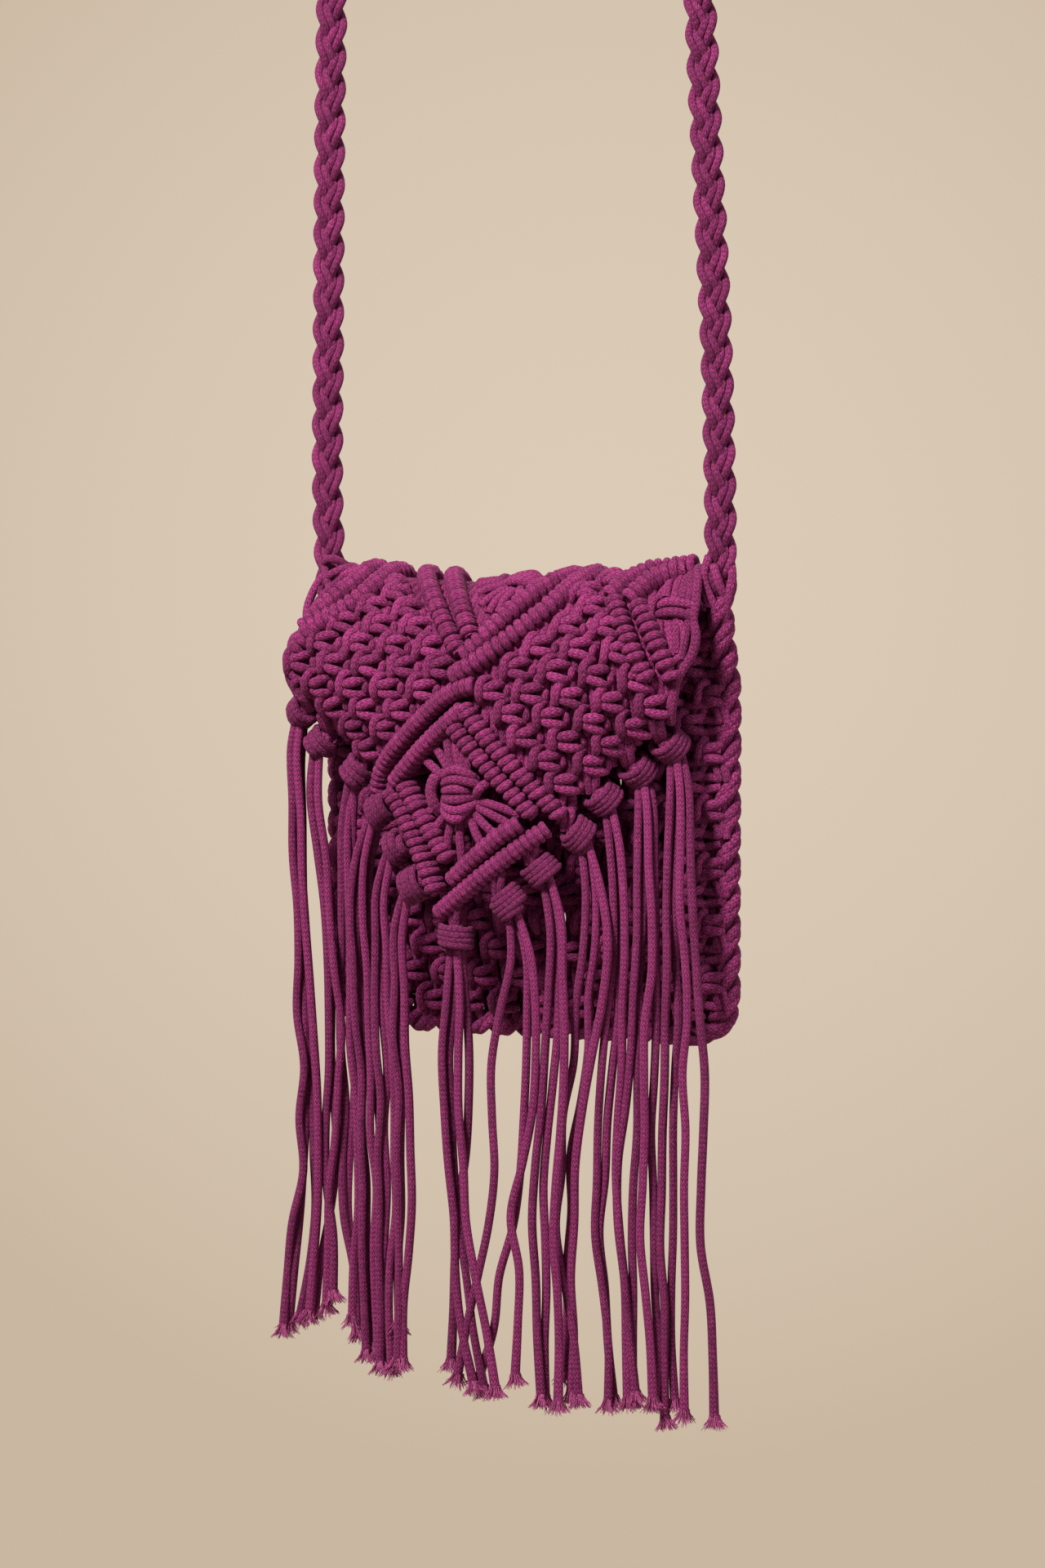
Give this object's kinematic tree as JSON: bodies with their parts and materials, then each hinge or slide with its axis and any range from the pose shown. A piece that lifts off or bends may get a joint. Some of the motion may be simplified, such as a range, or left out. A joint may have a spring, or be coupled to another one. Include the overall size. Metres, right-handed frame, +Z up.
{
  "type": "fringed bag",
  "caption": "Small knotted cotton cord bag with a ribbed V flap, long cord fringe from wrap knots and a braided shoulder strap.",
  "frame": {"origin": "underside of the strap at the top of its loop, where the bag hangs", "axes": "+Z up along the hanging bag, -Y towards the front with the flap and fringe, +X to the right seen from the front"},
  "size_m": [0.2263, 0.092, 0.9294],
  "materials": {
    "knotted_panel": "matt knitted cotton cord, alternating square knots",
    "rib_cord": "matt knitted cotton cord in half-hitch ridges",
    "lacing_cord": "matt knitted cotton cord, thick whipped lacing",
    "fringe_cord": "matt knitted cotton cord, cut ends frayed",
    "strap_cord": "matt knitted cotton cord, three-strand braid"
  },
  "bodies": {
    "root": {"back_panel": "knotted_panel", "front_panel": "knotted_panel", "flap_panel": "knotted_panel", "side_seam_left": "lacing_cord", "side_seam_right": "lacing_cord", "bottom_seam": "lacing_cord", "strap": "strap_cord", "rib_left_upper": "rib_cord", "rib_left_lower": "rib_cord", "rib_cross_up_left_outer": "rib_cord", "rib_cross_up_left_inner": "rib_cord", "rib_cross_up_right_inner": "rib_cord", "rib_cross_up_right_outer": "rib_cord", "rib_cross_down_left_outer": "rib_cord", "rib_cross_down_left_inner": "rib_cord", "rib_cross_down_right_inner": "rib_cord", "rib_cross_down_right_outer": "rib_cord", "rib_diamond_left_outer": "rib_cord", "rib_diamond_left_inner": "rib_cord", "rib_diamond_right_inner": "rib_cord", "rib_diamond_right_outer": "rib_cord", "rib_right_upper": "rib_cord", "rib_right_lower": "rib_cord", "rib_right_fall_inner": "rib_cord", "rib_right_fall_outer": "rib_cord", "berry_knot_upper": "rib_cord", "berry_knot_lower": "rib_cord", "wrap_knot_01": "fringe_cord", "wrap_knot_02": "fringe_cord", "wrap_knot_03": "fringe_cord", "wrap_knot_04": "fringe_cord", "wrap_knot_05": "fringe_cord", "wrap_knot_06": "fringe_cord", "wrap_knot_07": "fringe_cord", "wrap_knot_08": "fringe_cord", "wrap_knot_09": "fringe_cord", "wrap_knot_10": "fringe_cord", "wrap_knot_11": "fringe_cord", "wrap_knot_12": "fringe_cord", "wrap_knot_13": "fringe_cord", "tassel_01": "fringe_cord", "tassel_02": "fringe_cord", "tassel_03": "fringe_cord", "tassel_04": "fringe_cord", "tassel_05": "fringe_cord", "tassel_06": "fringe_cord", "tassel_07": "fringe_cord", "tassel_08": "fringe_cord", "tassel_09": "fringe_cord", "tassel_10": "fringe_cord", "tassel_11": "fringe_cord", "tassel_12": "fringe_cord", "tassel_13": "fringe_cord"}
  },
  "joints": []
}
